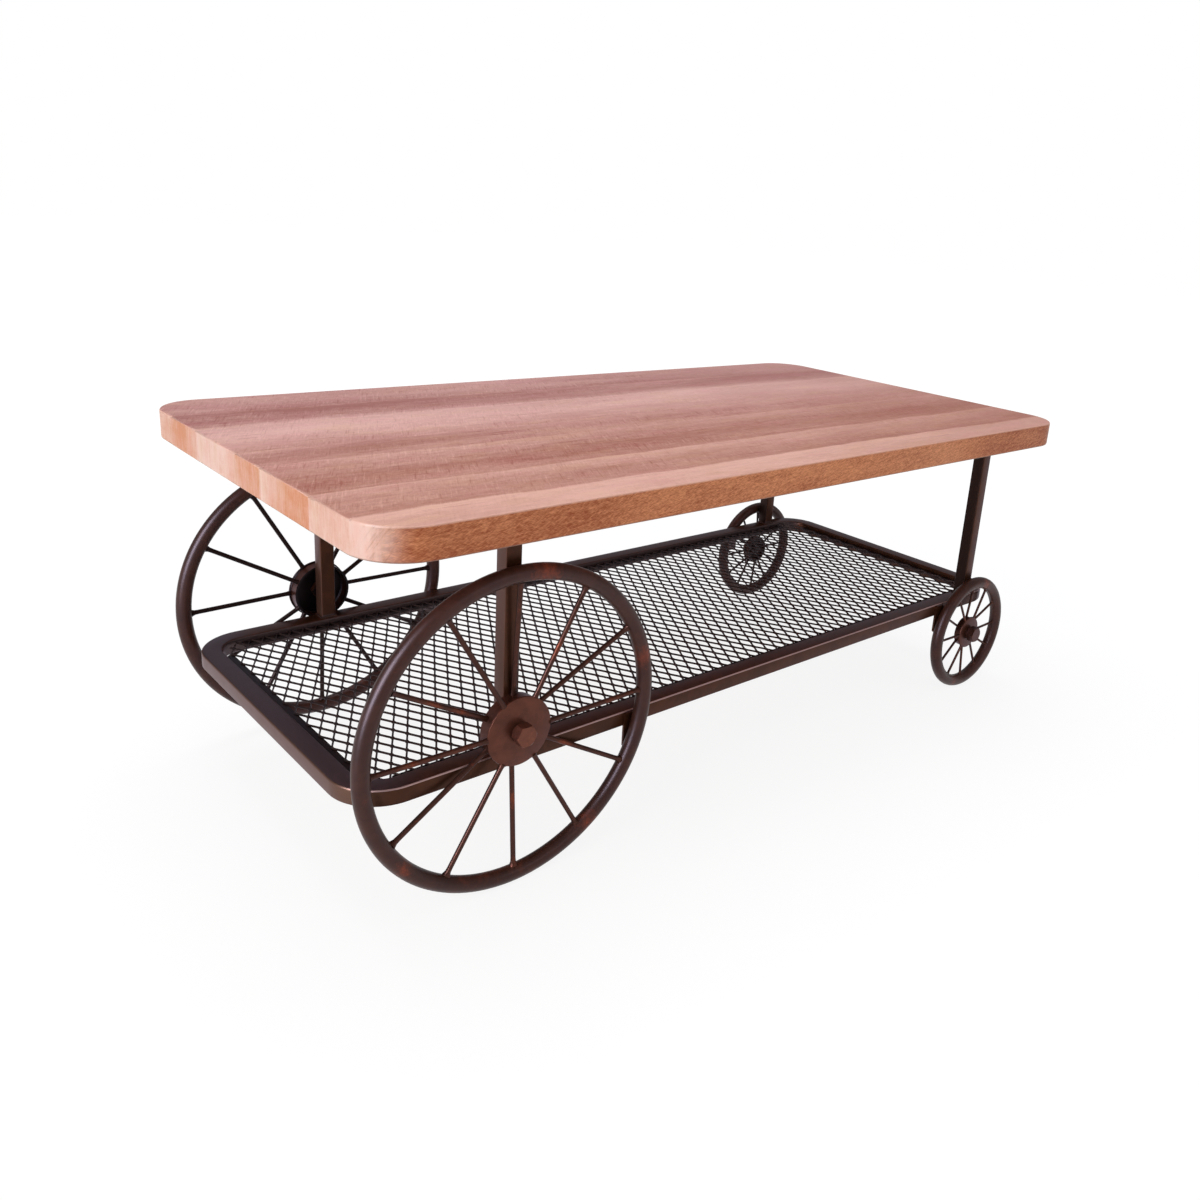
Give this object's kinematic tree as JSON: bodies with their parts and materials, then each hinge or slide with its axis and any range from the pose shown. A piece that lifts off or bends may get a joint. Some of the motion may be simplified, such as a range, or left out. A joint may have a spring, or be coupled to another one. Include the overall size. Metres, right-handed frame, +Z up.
{
  "type": "coffee table",
  "caption": "Low rectangular plank-top table on square posts, with an expanded metal lower shelf and fixed spoked cart wheels, big at one end and small at the other.",
  "frame": {"origin": "on the floor under the middle of the top", "axes": "+X along the top towards the small wheels, +Y across it, +Z up"},
  "size_m": [1.2, 0.62, 0.465],
  "materials": {
    "top_wood": "satin, reclaimed planks",
    "frame_metal": "rubbed dark bronze",
    "shelf_metal": "rubbed dark bronze",
    "wheel_metal": "rubbed dark bronze",
    "fastener_steel": "rubbed dark bronze"
  },
  "bodies": {
    "root": {"front_big_bolt": "fastener_steel", "front_big_hub": "wheel_metal", "front_big_inner_spokes": "wheel_metal", "front_big_nut": "fastener_steel", "front_big_outer_spokes": "wheel_metal", "front_big_rim": "wheel_metal", "front_big_tab": "wheel_metal", "front_big_washer": "fastener_steel", "front_small_bolt": "fastener_steel", "front_small_hub": "wheel_metal", "front_small_inner_spokes": "wheel_metal", "front_small_nut": "fastener_steel", "front_small_outer_spokes": "wheel_metal", "front_small_rim": "wheel_metal", "front_small_tab": "wheel_metal", "front_small_upper_tab": "wheel_metal", "front_small_washer": "fastener_steel", "mesh_ledge_front": "shelf_metal", "mesh_ledge_left": "shelf_metal", "mesh_ledge_rear": "shelf_metal", "mesh_ledge_right": "shelf_metal", "post_front_left": "frame_metal", "post_front_right": "frame_metal", "post_rear_left": "frame_metal", "post_rear_right": "frame_metal", "rear_big_bolt": "fastener_steel", "rear_big_hub": "wheel_metal", "rear_big_inner_spokes": "wheel_metal", "rear_big_nut": "fastener_steel", "rear_big_outer_spokes": "wheel_metal", "rear_big_rim": "wheel_metal", "rear_big_tab": "wheel_metal", "rear_big_washer": "fastener_steel", "rear_small_bolt": "fastener_steel", "rear_small_hub": "wheel_metal", "rear_small_inner_spokes": "wheel_metal", "rear_small_nut": "fastener_steel", "rear_small_outer_spokes": "wheel_metal", "rear_small_rim": "wheel_metal", "rear_small_tab": "wheel_metal", "rear_small_upper_tab": "wheel_metal", "rear_small_washer": "fastener_steel", "shelf_frame_left": "frame_metal", "shelf_frame_right": "frame_metal", "shelf_mesh": "shelf_metal", "top_plank_1": "top_wood", "top_plank_2": "top_wood", "top_plank_3": "top_wood", "top_plank_4": "top_wood", "top_plank_5": "top_wood", "top_plank_6": "top_wood", "top_plank_7": "top_wood", "top_plate_front_left": "frame_metal", "top_plate_front_right": "frame_metal", "top_plate_rear_left": "frame_metal", "top_plate_rear_right": "frame_metal", "top_screws": "fastener_steel"}
  },
  "joints": []
}
